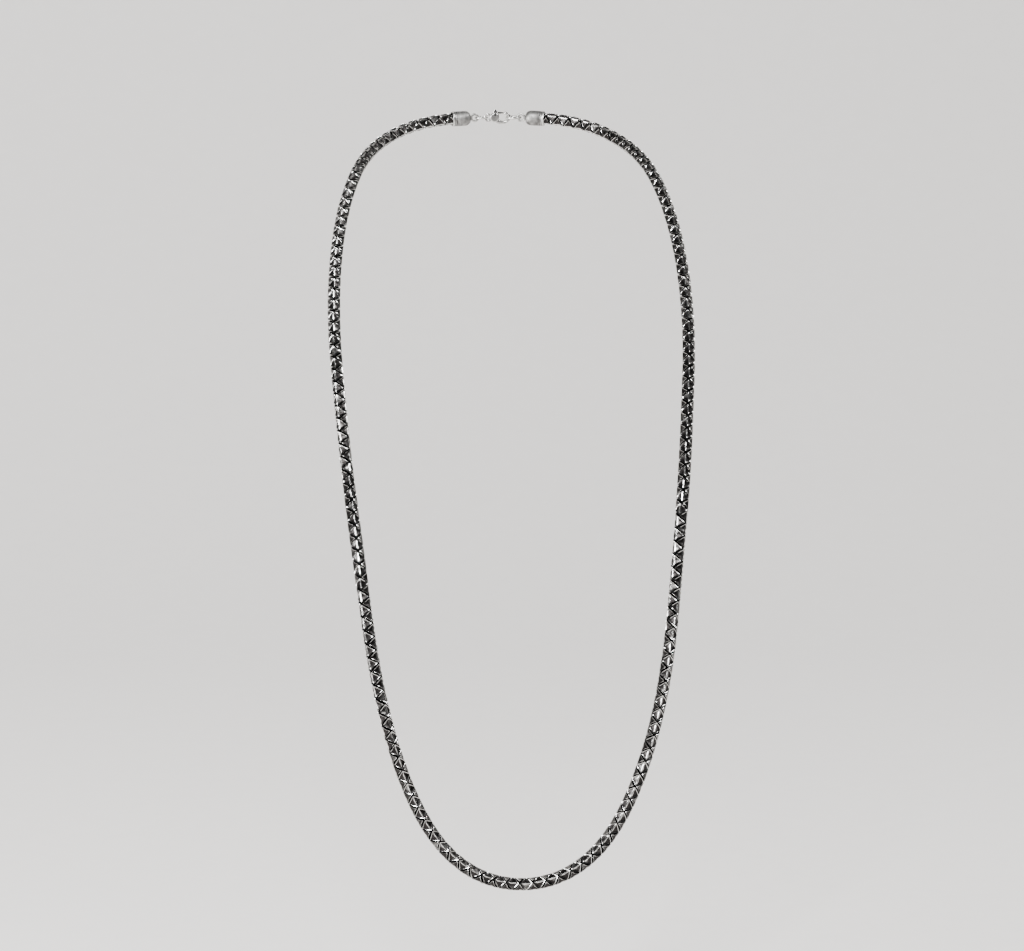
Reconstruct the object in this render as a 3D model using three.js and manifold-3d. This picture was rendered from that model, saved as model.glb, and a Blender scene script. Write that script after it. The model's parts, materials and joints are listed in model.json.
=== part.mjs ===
// A long chain necklace of thick, scaled links, closed at the nape by a lobster clasp.
// Millimetres, +Z up, +X to the wearer's left as seen from the front, -Y towards the viewer.
// The origin is on the chain's centreline at the middle of the nape, inside the clasp.
// The chain keeps the shape it has when worn: round the neck, over both shoulders, down the
// chest and across in a U. Each node of the chain is a short length of seven links, with a ball
// at the end nearest the clasp that turns in the cup of the length before it.

import * as THREE from 'three';
import Module from 'manifold-3d';
import { mergeVertices } from 'three/addons/utils/BufferGeometryUtils.js';

const wasm = await Module();
wasm.setup();

// Chain
const CHAIN_RADIUS = 2.8;
const LINK_PITCH = 2.85;
const LINKS_PER_LENGTH = 7;
const LENGTHS_PER_SIDE = 22;
const SECTION_LENGTH = LINK_PITCH * LINKS_PER_LENGTH;
const CHAIN_SIDES = 10;
const BENDS_PER_LENGTH = 3;

// Ball and cup between two lengths of chain
const BALL_RADIUS = 2.6;
const BALL_STEPS = 3;
const CUP_RADIUS = 3.1;
const CUP_STEPS = 2;
const SHOULDER = 0.9;

// Clasp, measured along the necklace from the middle of the nape
const CLASP_HALF = 18;
const HALF_LENGTH = CLASP_HALF + LENGTHS_PER_SIDE * SECTION_LENGTH;
const CAP_RADIUS = 3.35;
const CAP_LENGTH = 6.6;
const CAP_LIP = 3;
const CAP_BORE = 3.1;
const CAP_GAP = 0.3;
const CAP_NECK_RADIUS = 2.1;
const CAP_SIDES = 16;
const EYE_OFFSET = 7.6;
const EYE_RADIUS = 1.55;
const EYE_WIRE = 0.5;
const EYE_STEPS = 16;
const WIRE_SIDES = 8;
const RING_STEPS = 24;
const JUMP_RADIUS = 2.6;
const JUMP_WIRE = 0.45;
const JUMP_REACH = 3.0;
const CATCH_RADIUS = 3.2;
const CATCH_WIRE = 0.55;
const CATCH_REACH = 3.55;

// Lobster clasp, measured from the hole in its base eye
const BASE_EYE_RADIUS = 1.9;
const BASE_EYE_BORE = 1.0;
const BASE_EYE_THICKNESS = 1.1;
const CLAW_CENTRE = 6.3;
const CLAW_HALF_LENGTH = 4;
const CLAW_HALF_HEIGHT = 2.9;
const CLAW_THICKNESS = 1.7;
const THROAT_CENTRE = 6.8;
const THROAT_HALF_LENGTH = 2.2;
const THROAT_HALF_HEIGHT = 1.5;
const CHEEK_CENTRE = 3;
const CHEEK_RADIUS = 2.1;
const CHEEK_THICKNESS = 2.7;
const GATE_START = 3.9;
const GATE_END = 7.3;
const GATE_FLOOR = 0.9;
const SLOT_WIDTH = 1.2;
const SLOT_START = 1.8;
const SLOT_FLOOR = -0.4;
const PIVOT_ALONG = 3.2;
const PIVOT_UP = 1.2;
const PIN_RADIUS = 0.38;
const PIN_HOLE = 0.5;
const PIN_SIDES = 12;
const LEVER_THICKNESS = 0.8;
const LEVER_GAP = 0.15;
const LEVER_REACH = GATE_END - LEVER_GAP - PIVOT_ALONG;

// Steps in each arc of the claw's outlines
const CLAW_STEPS = 10;
const CHEEK_STEPS = 8;
const BASE_EYE_STEPS = 6;
const BORE_STEPS = 5;

// Outline of the lever, from its pivot: along and up
const LEVER_OUTLINE = [
  [-0.7, -0.75],
  [0.9, -0.75],
  [1.6, 0.2],
  [LEVER_REACH, 0.35],
  [LEVER_REACH, 1.15],
  [0.9, 1.35],
  [0.5, 2.4],
  [-0.4, 2.5],
  [-0.7, 1],
];

// Outline of the bent leaf spring, from the lowest corner of the slot: along and up
const LEAF_OUTLINE = [
  [0.3, 0],
  [1.9, 0],
  [0.5, 0.42],
  [0.5, 0.28],
  [1.3, 0.16],
  [0.3, 0.16],
];

// Half of the route of the centreline, from the nape to the bottom of the U; the other half
// mirrors it
const HALF_ROUTE = [
  [0, 0, 0],
  [9, 0, 0],
  [18, -1.3, -0.1],
  [29, -5, -0.8],
  [42.5, -14, -3.5],
  [55, -29, -9],
  [64.5, -51.5, -18],
  [71.3, -73, -34],
  [74.8, -93.5, -52.5],
  [76, -112, -72],
  [75.4, -128, -91],
  [73.7, -141, -111],
  [71.8, -153.5, -130.5],
  [69.5, -165, -150],
  [67, -175, -169.5],
  [64.5, -184.5, -189],
  [61.5, -192, -209],
  [57.5, -197.5, -228.5],
  [52, -201, -248],
  [44.5, -203.3, -267],
  [34, -204.8, -284],
  [18.8, -205.7, -296.5],
  [0, -206, -301],
];

// The loop as a whole lies near a plane that leans back, and this is the plane's normal.
const LOOP_NORMAL = new THREE.Vector3(0, 0.82, -0.57).normalize();

const SILVER = { color: 0x8f8c88, roughness: 0.32, metalness: 1 };
const DARK_SILVER = { color: 0x5f5c59, roughness: 0.42, metalness: 1 };
const SPRING_STEEL = { color: 0x9a9ca0, roughness: 0.3, metalness: 1 };

const necklace = new THREE.Group();

function vector(point, side) {
  return new THREE.Vector3(point[0] * side, point[1], point[2]);
}

// The route is one closed curve, from the bottom of the U up the left side, round the nape and
// down the right side, so that it has no corner at the bottom. The nape is halfway along it.
function makeRoute() {
  const right = HALF_ROUTE.slice(0, -1).map((point) => vector(point, 1));
  const left = HALF_ROUTE.slice(1).map((point) => vector(point, -1));
  const loop = new THREE.CatmullRomCurve3([...left.reverse(), ...right], true, 'centripetal');
  loop.arcLengthDivisions = 4000;
  return loop;
}

const route = makeRoute();

// The point and the direction of travel at a distance from the nape, down one side.
function placeOnRoute(distance, side) {
  const u = (1.5 + (side * distance) / (2 * HALF_LENGTH)) % 1;
  const point = route.getPointAt(u);
  const tangent = route.getTangentAt(u).multiplyScalar(side);
  return { point, tangent };
}

// A frame across the route, with one axis as near as it can be to the normal of the loop's plane.
function frameAt(distance, side) {
  const { point, tangent } = placeOnRoute(distance, side);
  const level = LOOP_NORMAL.clone().addScaledVector(tangent, -LOOP_NORMAL.dot(tangent));
  level.normalize();
  const third = new THREE.Vector3().crossVectors(level, tangent);
  return { point, level, third };
}

// Bends a shape turned about the Y axis so that its axis follows the route from a distance on.
function bendOntoRoute(geometry, distance, side, origin) {
  const position = geometry.getAttribute('position');
  const vertex = new THREE.Vector3();
  for (let i = 0; i < position.count; i += 1) {
    vertex.fromBufferAttribute(position, i);
    const frame = frameAt(distance + vertex.y, side);
    const bent = frame.point
      .clone()
      .addScaledVector(frame.level, vertex.x)
      .addScaledVector(frame.third, vertex.z)
      .sub(origin);
    position.setXYZ(i, bent.x, bent.y, bent.z);
  }
  return geometry;
}

// Keeps only the positions of a geometry, with its shared vertices merged.
function bare(geometry) {
  const copy = geometry.clone();
  copy.deleteAttribute('normal');
  copy.deleteAttribute('uv');
  return mergeVertices(copy, 1e-5);
}

function toSolid(geometry) {
  const clean = bare(geometry);
  return new wasm.Manifold(
    new wasm.Mesh({
      numProp: 3,
      vertProperties: clean.getAttribute('position').array,
      triVerts: new Uint32Array(clean.getIndex().array),
    }),
  );
}

function toGeometry(solid) {
  const mesh = solid.getMesh();
  const geometry = new THREE.BufferGeometry();
  geometry.setAttribute('position', new THREE.BufferAttribute(mesh.vertProperties, 3));
  geometry.setIndex(new THREE.BufferAttribute(mesh.triVerts, 1));
  geometry.computeVertexNormals();
  return geometry;
}

function addPiece(name, geometry, finish, parent = necklace) {
  const mesh = new THREE.Mesh(geometry, new THREE.MeshStandardMaterial(finish));
  mesh.name = name;
  parent.add(mesh);
  return mesh;
}

// Points of a sphere's outline from its pole to an angle from that pole.
function arcPoints(radius, centre, fromAngle, toAngle, steps, direction) {
  const points = [];
  for (let i = 0; i <= steps; i += 1) {
    const angle = fromAngle + ((toAngle - fromAngle) * i) / steps;
    const along = centre + direction * radius * Math.cos(angle);
    points.push(new THREE.Vector2(radius * Math.sin(angle), along));
  }
  return points;
}

// Points along the straight side of a length, where it can bend, its two ends among them.
function sidePoints(start, end) {
  const points = [];
  for (let i = 0; i <= BENDS_PER_LENGTH; i += 1) {
    const along = start + ((end - start) * i) / BENDS_PER_LENGTH;
    points.push(new THREE.Vector2(CHAIN_RADIUS, along));
  }
  return points;
}

// The outline of a length of chain: ball, straight side, then the rim and hollow of the cup.
function lengthProfile(length) {
  const rimAngle = Math.asin(CHAIN_RADIUS / CUP_RADIUS);
  const ball = arcPoints(BALL_RADIUS, 0, 0, Math.PI / 2, BALL_STEPS, -1);
  const cup = arcPoints(CUP_RADIUS, length, rimAngle, 0, CUP_STEPS, -1);
  const sides = sidePoints(SHOULDER, cup[0].y).slice(0, -1);
  const outline = [...ball, ...sides, ...cup];
  outline[0].x = 0;
  outline[outline.length - 1].x = 0;
  return outline;
}

// The last length on the right has a ball at both ends, for the cup that faces it.
function closingProfile(length) {
  const first = arcPoints(BALL_RADIUS, 0, 0, Math.PI / 2, BALL_STEPS, -1);
  const last = arcPoints(BALL_RADIUS, length, Math.PI / 2, 0, BALL_STEPS, 1);
  const sides = sidePoints(SHOULDER, length - SHOULDER);
  const outline = [...first, ...sides, ...last];
  outline[0].x = 0;
  outline[outline.length - 1].x = 0;
  return outline;
}

function addLength(name, number, side, profile) {
  const distance = CLASP_HALF + (number - 1) * SECTION_LENGTH;
  const pivot = placeOnRoute(distance, side).point;
  const turned = new THREE.LatheGeometry(profile, CHAIN_SIDES);
  const geometry = bare(bendOntoRoute(turned, distance, side, pivot));
  addPiece(name, geometry, SILVER).position.copy(pivot);
}

function addChain() {
  for (let number = 1; number <= LENGTHS_PER_SIDE; number += 1) {
    const tag = String(number).padStart(2, '0');
    const closing = number === LENGTHS_PER_SIDE;
    const plain = lengthProfile(SECTION_LENGTH);
    addLength(`chain_left_${tag}`, number, -1, plain);
    const last = closing ? closingProfile(SECTION_LENGTH) : plain;
    addLength(`chain_right_${tag}`, number, 1, last);
  }
}

// A cup that sleeves over the end of the chain, with an eye on its closed end. It is made along
// +Y, with the chain's first ball at the origin, and its eye's hole runs along Z.
function makeCap() {
  const floor = -BALL_RADIUS - CAP_GAP;
  const neck = EYE_RADIUS - EYE_OFFSET;
  const outline = [
    [0, floor],
    [CAP_BORE, floor],
    [CAP_BORE, CAP_LIP],
    [CAP_RADIUS, CAP_LIP],
    [CAP_RADIUS, CAP_LIP - CAP_LENGTH],
    [CAP_NECK_RADIUS, neck],
    [0, neck],
  ].map(([x, y]) => new THREE.Vector2(x, y));
  const cup = toSolid(new THREE.LatheGeometry(outline.reverse(), CAP_SIDES));
  const ring = new THREE.TorusGeometry(EYE_RADIUS, EYE_WIRE, WIRE_SIDES, EYE_STEPS);
  ring.translate(0, -EYE_OFFSET, 0);
  return toGeometry(cup.add(toSolid(ring)));
}

// Turns a piece made along +Y so that it lies along the necklace, with its Z axis level.
function standOnRoute(mesh, distance, side) {
  const { point, tangent } = placeOnRoute(distance, side);
  const out = new THREE.Vector3(0, 0, 1).addScaledVector(tangent, -tangent.z).normalize();
  const normal = new THREE.Vector3().crossVectors(tangent, out);
  const basis = new THREE.Matrix4().makeBasis(out, tangent, normal.negate());
  mesh.quaternion.setFromRotationMatrix(basis);
  mesh.position.copy(point);
}

function addCaps() {
  standOnRoute(addPiece('end_cap_left', makeCap(), DARK_SILVER), CLASP_HALF, -1);
  standOnRoute(addPiece('end_cap_right', makeCap(), DARK_SILVER), CLASP_HALF, 1);
}

// Where the middle of the eye of a side's end cap lies.
function eyeCentre(side) {
  const { point, tangent } = placeOnRoute(CLASP_HALF, side);
  return point.clone().addScaledVector(tangent, -EYE_OFFSET);
}

function addRing(name, radius, wire, reach, side) {
  const eye = eyeCentre(side);
  const torus = new THREE.TorusGeometry(radius, wire, WIRE_SIDES, RING_STEPS);
  const ring = addPiece(name, bare(torus), SILVER);
  ring.position.set(eye.x - side * reach, eye.y, eye.z);
}

function extrudeAlongY(shape, thickness, curveSegments = CLAW_STEPS) {
  const options = { depth: thickness, bevelEnabled: false, curveSegments };
  const geometry = new THREE.ExtrudeGeometry(shape, options);
  geometry.translate(0, 0, -thickness / 2);
  geometry.rotateX(Math.PI / 2);
  return geometry;
}

function ellipseShape(centre, halfLength, halfHeight) {
  const shape = new THREE.Shape();
  shape.absellipse(centre, 0, halfLength, halfHeight, 0, Math.PI * 2, false, 0);
  return shape;
}

function pinAcross(radius, length) {
  const pin = new THREE.CylinderGeometry(radius, radius, length, PIN_SIDES);
  pin.translate(PIVOT_ALONG, 0, PIVOT_UP);
  return pin;
}

function boxBetween(low, high) {
  const size = high.map((value, i) => value - low[i]);
  const box = new THREE.BoxGeometry(...size);
  box.translate(...low.map((value, i) => value + size[i] / 2));
  return box;
}

// The claw: a base eye, two cheeks that hold the lever, and the hook, with its gate open.
function makeClaw() {
  const claw = ellipseShape(CLAW_CENTRE, CLAW_HALF_LENGTH, CLAW_HALF_HEIGHT);
  const throat = ellipseShape(THROAT_CENTRE, THROAT_HALF_LENGTH, THROAT_HALF_HEIGHT);
  const cheeks = ellipseShape(CHEEK_CENTRE, CHEEK_RADIUS, CHEEK_RADIUS);
  const eye = ellipseShape(0, BASE_EYE_RADIUS, BASE_EYE_RADIUS);
  const bore = ellipseShape(0, BASE_EYE_BORE, BASE_EYE_BORE);
  const high = CLAW_HALF_HEIGHT * 2;
  const gate = boxBetween([GATE_START, -high, GATE_FLOOR], [GATE_END, high, high]);
  const slotHalf = SLOT_WIDTH / 2;
  const slot = boxBetween([SLOT_START, -slotHalf, SLOT_FLOOR], [GATE_END, slotHalf, high]);
  return toSolid(extrudeAlongY(claw, CLAW_THICKNESS))
    .subtract(toSolid(extrudeAlongY(throat, high)))
    .subtract(toSolid(gate))
    .add(toSolid(extrudeAlongY(cheeks, CHEEK_THICKNESS, CHEEK_STEPS)))
    .subtract(toSolid(slot))
    .add(toSolid(extrudeAlongY(eye, BASE_EYE_THICKNESS, BASE_EYE_STEPS)))
    .subtract(toSolid(extrudeAlongY(bore, high, BORE_STEPS)))
    .subtract(toSolid(pinAcross(PIN_HOLE, high)));
}

// A flat piece between the cheeks: an outline, counted from a corner, made LEVER_THICKNESS thick.
function makeFlat(outline, along, up) {
  const points = outline.map(([x, y]) => new THREE.Vector2(along + x, up + y));
  return extrudeAlongY(new THREE.Shape(points), LEVER_THICKNESS);
}

// The lever that closes the gate, with the nub that the thumb pushes.
function makeLever() {
  const lever = toSolid(makeFlat(LEVER_OUTLINE, PIVOT_ALONG, PIVOT_UP));
  return toGeometry(lever.subtract(toSolid(pinAcross(PIN_HOLE, CHEEK_THICKNESS))));
}

// A bent leaf in the slot under the lever.
function makeLeafSpring() {
  return bare(makeFlat(LEAF_OUTLINE, SLOT_START, SLOT_FLOOR + LEVER_GAP));
}

function addClasp() {
  const clasp = new THREE.Group();
  const eye = eyeCentre(-1);
  clasp.position.set(eye.x + JUMP_REACH * 2, eye.y, eye.z);
  necklace.add(clasp);
  addPiece('clasp_claw', toGeometry(makeClaw()), DARK_SILVER, clasp);
  addPiece('clasp_lever', makeLever(), SILVER, clasp);
  addPiece('lever_spring', makeLeafSpring(), SPRING_STEEL, clasp);
  addPiece('lever_pin', bare(pinAcross(PIN_RADIUS, CHEEK_THICKNESS)), SPRING_STEEL, clasp);
  addRing('jump_ring', JUMP_RADIUS, JUMP_WIRE, JUMP_REACH, -1);
  addRing('catch_ring', CATCH_RADIUS, CATCH_WIRE, CATCH_REACH, 1);
}

addChain();
addCaps();
addClasp();

export default necklace;
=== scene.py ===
"""The looks of a long chain necklace of scaled links, closed at the nape by a lobster clasp.

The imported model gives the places, the joints and the size of the whole. Its plain lengths of chain
are hidden, and every link of the chain is built in their place. The end cups, the rings and the
clasp are made again with rounded edges. Places are in metres. Sizes that end in _mm are in
millimetres, and a mesh made in them is scaled when it is put in its place.
"""

import json
import logging
import math
from dataclasses import dataclass, field
from enum import Enum

import bmesh
import bpy
import numpy as np
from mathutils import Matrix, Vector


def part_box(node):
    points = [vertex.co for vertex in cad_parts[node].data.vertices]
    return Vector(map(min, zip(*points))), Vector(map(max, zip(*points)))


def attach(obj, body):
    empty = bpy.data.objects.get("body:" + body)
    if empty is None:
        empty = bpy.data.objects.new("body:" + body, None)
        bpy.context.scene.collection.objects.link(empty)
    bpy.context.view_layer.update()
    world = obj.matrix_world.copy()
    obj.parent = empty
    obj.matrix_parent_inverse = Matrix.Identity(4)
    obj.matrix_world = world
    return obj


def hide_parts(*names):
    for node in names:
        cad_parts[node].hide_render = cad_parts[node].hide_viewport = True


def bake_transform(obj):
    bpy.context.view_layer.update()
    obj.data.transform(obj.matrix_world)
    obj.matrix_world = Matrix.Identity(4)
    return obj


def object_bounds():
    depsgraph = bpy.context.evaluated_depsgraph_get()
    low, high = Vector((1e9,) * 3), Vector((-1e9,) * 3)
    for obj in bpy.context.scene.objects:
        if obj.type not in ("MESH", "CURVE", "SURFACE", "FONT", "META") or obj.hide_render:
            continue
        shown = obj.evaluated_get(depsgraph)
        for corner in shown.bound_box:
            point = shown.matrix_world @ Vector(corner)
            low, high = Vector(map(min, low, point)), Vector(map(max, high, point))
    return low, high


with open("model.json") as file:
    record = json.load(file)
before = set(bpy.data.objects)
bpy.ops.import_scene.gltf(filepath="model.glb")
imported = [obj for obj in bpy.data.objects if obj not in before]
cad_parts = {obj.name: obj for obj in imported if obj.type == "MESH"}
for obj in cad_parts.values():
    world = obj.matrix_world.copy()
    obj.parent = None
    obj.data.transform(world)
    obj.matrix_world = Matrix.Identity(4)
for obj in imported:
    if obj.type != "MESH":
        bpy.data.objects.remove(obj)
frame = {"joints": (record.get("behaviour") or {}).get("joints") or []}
CAD_LOW, CAD_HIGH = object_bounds()

MM = 0.001
Points = np.ndarray
Outline = list[tuple[float, float]]
Triple = tuple[float, float, float]
MeshParts = tuple[list, list, list]
GroupInputs = bpy.types.bpy_prop_collection

log = logging.getLogger("necklace")


class Side(Enum):
    """A side of the necklace, by the sign of X on that side."""

    LEFT = -1
    RIGHT = 1

    @property
    def word(self) -> str:
        """The side's name as the bodies and nodes spell it."""
        return self.name.lower()


class Slot(Enum):
    """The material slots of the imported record."""

    CHAIN = "oxidised_silver_chain"
    CAST = "cast_silver"
    POLISHED = "polished_silver"
    WIRE = "drawn_silver_wire"
    STEEL = "spring_steel"


# ---- Node trees ----


class Graph:
    """A node tree with short calls to add nodes and to join their sockets."""

    def __init__(self, tree: bpy.types.NodeTree) -> None:
        """Keeps the tree.

        Args:
            tree: The tree that the nodes go into.
        """
        self.tree = tree

    def add(
        self, kind: str, feeds: dict[str | int, object] | None = None, **settings: object
    ) -> bpy.types.Node:
        """Adds a node.

        Args:
            kind: Blender's type name of the node.
            feeds: What its inputs get, by the input's name or place.
            settings: Properties of the node.

        Returns:
            The new node.
        """
        node = self.tree.nodes.new(kind)
        for name, value in settings.items():
            setattr(node, name, value)
        for key, value in (feeds or {}).items():
            self.feed(node.inputs[key], value)
        return node

    def feed(self, socket: bpy.types.NodeSocket, value: object) -> None:
        """Gives an input its value.

        Args:
            socket: The input.
            value: Another node's output, or a plain value.
        """
        if isinstance(value, bpy.types.NodeSocket):
            self.tree.links.new(value, socket)
        else:
            socket.default_value = value

    def math(self, operation: str, first: object, second: object = 0.0) -> bpy.types.NodeSocket:
        """Adds a Math node.

        Args:
            operation: What it works out.
            first: Its first input.
            second: Its second input.

        Returns:
            The result.
        """
        return self.add("ShaderNodeMath", {0: first, 1: second}, operation=operation).outputs[0]

    def scaled(self, value: object, factor: float, shift: object) -> bpy.types.NodeSocket:
        """Multiplies a value and adds to it.

        Args:
            value: The value.
            factor: What it is multiplied by.
            shift: What is added, a number or another node's output.

        Returns:
            The result.
        """
        feeds = {0: value, 1: factor, 2: shift}
        return self.add("ShaderNodeMath", feeds, operation="MULTIPLY_ADD").outputs[0]

    def spread(
        self, value: object, low: float, high: float, to_low: object, to_high: float
    ) -> bpy.types.NodeSocket:
        """Adds a smooth Map Range node.

        Args:
            value: The value to map.
            low: Where the range starts.
            high: Where the range ends.
            to_low: The result at the start.
            to_high: The result at the end.

        Returns:
            The mapped value's socket.
        """
        feeds = dict(enumerate((value, low, high, to_low, to_high)))
        return self.add("ShaderNodeMapRange", feeds, interpolation_type="SMOOTHSTEP").outputs[0]

    def mix(self, share: object, first: object, second: object) -> bpy.types.NodeSocket:
        """Adds a colour mix.

        Args:
            share: How much of the second colour shows.
            first: The first colour.
            second: The second colour.

        Returns:
            The mixed colour.
        """
        node = self.add("ShaderNodeMix", {"Factor": share}, data_type="RGBA")
        colours = [s for s in node.inputs if s.type == "RGBA"]
        for socket, value in zip(colours, (first, second)):
            self.feed(socket, value)
        return next(s for s in node.outputs if s.type == "RGBA")

    def noise(self, where: object, scale: float, detail: float) -> bpy.types.NodeSocket:
        """Adds a Noise texture.

        Args:
            where: The coordinates that it reads.
            scale: Cells in a metre.
            detail: How many finer layers it has.

        Returns:
            The noise as a value from 0 to 1.
        """
        feeds = {"Vector": where, "Scale": scale, "Detail": detail}
        return self.add("ShaderNodeTexNoise", feeds).outputs[0]

    def roughen(
        self, shader: bpy.types.Node, height: object, strength: float, depth: float
    ) -> None:
        """Gives a shader a bump.

        Args:
            shader: The shader.
            height: The height of the pattern.
            strength: How strongly it shows.
            depth: How deep it is, in metres.
        """
        feeds = {"Height": height, "Strength": strength, "Distance": depth}
        bump = self.add("ShaderNodeBump", feeds)
        self.feed(shader.inputs["Normal"], bump.outputs["Normal"])

    def stretched(self, where: object, shares: Triple) -> bpy.types.NodeSocket:
        """Multiplies coordinates, so that a pattern on them is drawn out.

        Args:
            where: The coordinates.
            shares: The factor of each axis.

        Returns:
            The multiplied coordinates' socket.
        """
        feeds = {0: where, 1: shares}
        return self.add("ShaderNodeVectorMath", feeds, operation="MULTIPLY").outputs[0]


def new_finish(name: str) -> tuple[bpy.types.Material, Graph, bpy.types.Node, object]:
    """Starts a material.

    Args:
        name: The material's name.

    Returns:
        The material, its tree, its shader and the coordinates that its patterns read.
    """
    made = bpy.data.materials.new(name)
    made.use_nodes = True
    graph = Graph(made.node_tree)
    shader = made.node_tree.nodes["Principled BSDF"]
    where = graph.add("ShaderNodeTexCoord").outputs["Object"]
    return made, graph, shader, where


def opaque(colour: Triple) -> tuple[float, float, float, float]:
    """Returns a colour with full alpha."""
    return (*colour, 1.0)


# ---- Finishes ----


@dataclass(frozen=True)
class OxidisedSilver:
    """Silver that was blackened all over, then polished on its ridges and rims.

    The mesh carries two attributes: relief, with the keel, the rim and the hollow as its three
    values, and tone, a number for each link.
    """

    bright: Triple = (0.90, 0.89, 0.87)
    patina: Triple = (0.027, 0.025, 0.0245)
    oxide: Triple = (0.004, 0.004, 0.004)
    ridge_roughness: float = 0.11
    patina_roughness: float = 0.26
    hollow_roughness: float = 0.6
    stain_scale: float = 330.0
    grain_scale: float = 2400.0
    scratch_scale: float = 1500.0
    bump: float = 0.12

    def material(self, name: str) -> bpy.types.Material:
        """Builds the material.

        Args:
            name: The material's name.

        Returns:
            The new material.
        """
        made, graph, shader, where = new_finish(name)
        relief = graph.add("ShaderNodeAttribute", attribute_name="relief").outputs["Vector"]
        tone = graph.add("ShaderNodeAttribute", attribute_name="tone").outputs["Fac"]
        parts = graph.add("ShaderNodeSeparateXYZ", {0: relief})
        stain = graph.noise(where, self.stain_scale, 3.0)
        grain = graph.noise(where, self.grain_scale, 4.0)
        scratch = graph.noise(graph.stretched(where, (1.0, 1.0, 0.12)), self.scratch_scale, 2.0)

        keel = graph.spread(parts.outputs[0], 0.80, 0.98, 0.0, 1.0)
        rim = graph.spread(parts.outputs[1], 0.35, 0.85, 0.0, 1.0)
        raised = graph.math("MAXIMUM", keel, rim)
        uneven = graph.scaled(stain, 1.1, -0.6)
        polish = graph.math("ADD", graph.math("MULTIPLY", raised, 0.85), uneven)
        polish = graph.math("ADD", polish, graph.math("MULTIPLY", tone, 0.12))
        polish.node.use_clamp = True
        metal = graph.mix(polish, opaque(self.patina), opaque(self.bright))
        soot = graph.math("ADD", parts.outputs[2], graph.math("MULTIPLY", grain, 0.3))
        black = graph.spread(soot, 0.18, 0.42, 0.0, 1.0)
        colour = graph.mix(black, metal, opaque(self.oxide))
        graph.feed(shader.inputs["Base Color"], colour)
        shader.inputs["Metallic"].default_value = 1.0
        satin = graph.spread(polish, 0.0, 1.0, self.patina_roughness, self.ridge_roughness)
        rough = graph.spread(black, 0.0, 1.0, satin, self.hollow_roughness)
        dull = graph.scaled(grain, 0.16, -0.04)
        graph.feed(shader.inputs["Roughness"], graph.math("ADD", rough, dull))
        graph.roughen(shader, graph.math("ADD", scratch, grain), self.bump, 0.00004)
        return made


@dataclass(frozen=True)
class WorkedMetal:
    """Cast, drawn or rolled metal: bright where it is rubbed and darker in its corners.

    The mesh carries an attribute, wear, from 0 in a corner to 1 on an edge.
    """

    bright: Triple = (0.78, 0.77, 0.75)
    dark: Triple = (0.022, 0.021, 0.02)
    bare_from: float = 0.42
    bare_to: float = 1.1
    roughness: float = 0.2
    stain_scale: float = 420.0
    grain_scale: float = 1500.0
    grain_shares: Triple = (1.0, 1.0, 1.0)
    bump: float = 0.2

    def material(self, name: str) -> bpy.types.Material:
        """Builds the material.

        Args:
            name: The material's name.

        Returns:
            The new material.
        """
        made, graph, shader, where = new_finish(name)
        wear = graph.add("ShaderNodeAttribute", attribute_name="wear").outputs["Fac"]
        stain = graph.noise(where, self.stain_scale, 3.0)
        grain = graph.noise(graph.stretched(where, self.grain_shares), self.grain_scale, 3.0)
        rubbed = graph.math("ADD", wear, graph.math("MULTIPLY", stain, 0.5))
        shine = graph.spread(rubbed, self.bare_from, self.bare_to, 0.0, 1.0)
        colour = graph.mix(shine, opaque(self.dark), opaque(self.bright))
        graph.feed(shader.inputs["Base Color"], colour)
        shader.inputs["Metallic"].default_value = 1.0
        rough = graph.spread(shine, 0.0, 1.0, self.roughness + 0.28, self.roughness)
        graph.feed(shader.inputs["Roughness"], graph.scaled(grain, 0.1, rough))
        graph.roughen(shader, grain, self.bump, 0.00003)
        return made


@dataclass(frozen=True)
class StudioPaper:
    """Matt, pale paper for the floor."""

    colour: Triple = (0.93, 0.905, 0.88)
    fibre_scale: float = 90.0

    def material(self, name: str) -> bpy.types.Material:
        """Builds the material.

        Args:
            name: The material's name.

        Returns:
            The new material.
        """
        made, graph, shader, where = new_finish(name)
        fibre = graph.noise(where, self.fibre_scale, 5.0)
        shade = tuple(0.96 * part for part in self.colour)
        colour = graph.mix(fibre, opaque(shade), opaque(self.colour))
        graph.feed(shader.inputs["Base Color"], colour)
        shader.inputs["Roughness"].default_value = 0.9
        return made


# ---- Meshes ----


def arc(
    centre: tuple[float, float], radius: float, start: float, end: float, steps: int
) -> Outline:
    """Draws an arc.

    Args:
        centre: Its centre.
        radius: Its radius.
        start: The angle at its start, in radians.
        end: The angle at its end.
        steps: How many lengths it has.

    Returns:
        Its points.
    """
    x, y = centre
    turns = [start + (end - start) * step / steps for step in range(steps + 1)]
    return [(x + radius * math.cos(turn), y + radius * math.sin(turn)) for turn in turns]


def bent_wire(turns: Points, radius: float, wire: float, sides: int) -> Points:
    """Lays the rings of a round wire round a circle in the XY plane.

    Args:
        turns: Where the rings stand on the circle, in radians.
        radius: The radius of the circle.
        wire: Half the thickness of the wire.
        sides: Points round the wire.

    Returns:
        The rings.
    """
    rings = []
    for turn in turns:
        section = arc((radius, 0.0), wire, 0.0, math.tau, sides)[:-1]
        rings.append([(math.cos(turn) * r, math.sin(turn) * r, z) for r, z in section])
    return np.array(rings)


def placed(name: str, data: bpy.types.ID) -> bpy.types.Object:
    """Makes an object and puts it in the scene.

    Args:
        name: The object's name.
        data: Its mesh, lamp or camera.

    Returns:
        The new object.
    """
    made = bpy.data.objects.new(name, data)
    bpy.context.scene.collection.objects.link(made)
    return made


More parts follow.
